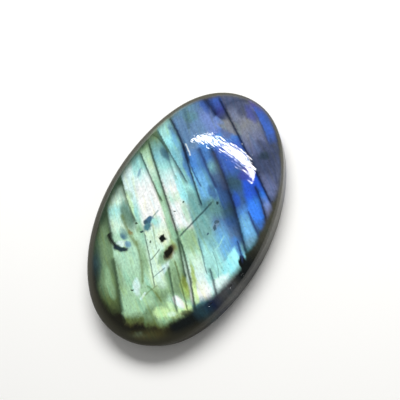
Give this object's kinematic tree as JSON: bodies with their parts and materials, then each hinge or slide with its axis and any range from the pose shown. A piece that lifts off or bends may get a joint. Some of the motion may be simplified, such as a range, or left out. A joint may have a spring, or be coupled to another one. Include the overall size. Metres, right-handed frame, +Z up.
{
  "type": "polished labradorite cabochon",
  "caption": "Polished oval stone with a flat ground back, a low bevelled side and a glossy dome that flashes blue, cyan and green between dark seams.",
  "frame": {"origin": "middle of the flat back, which lies on Z = 0", "axes": "+X along the long axis towards the stone's blue end, +Y across its width, +Z up out of the dome"},
  "size_m": [0.0444, 0.0305, 0.008],
  "materials": {
    "labradorite": "polished to a gloss, with a blue to yellow-green flash crossed by dark seams; the side and back are ground, darker and less glossy"
  },
  "bodies": {
    "root": {"cabochon": "labradorite"}
  },
  "joints": []
}
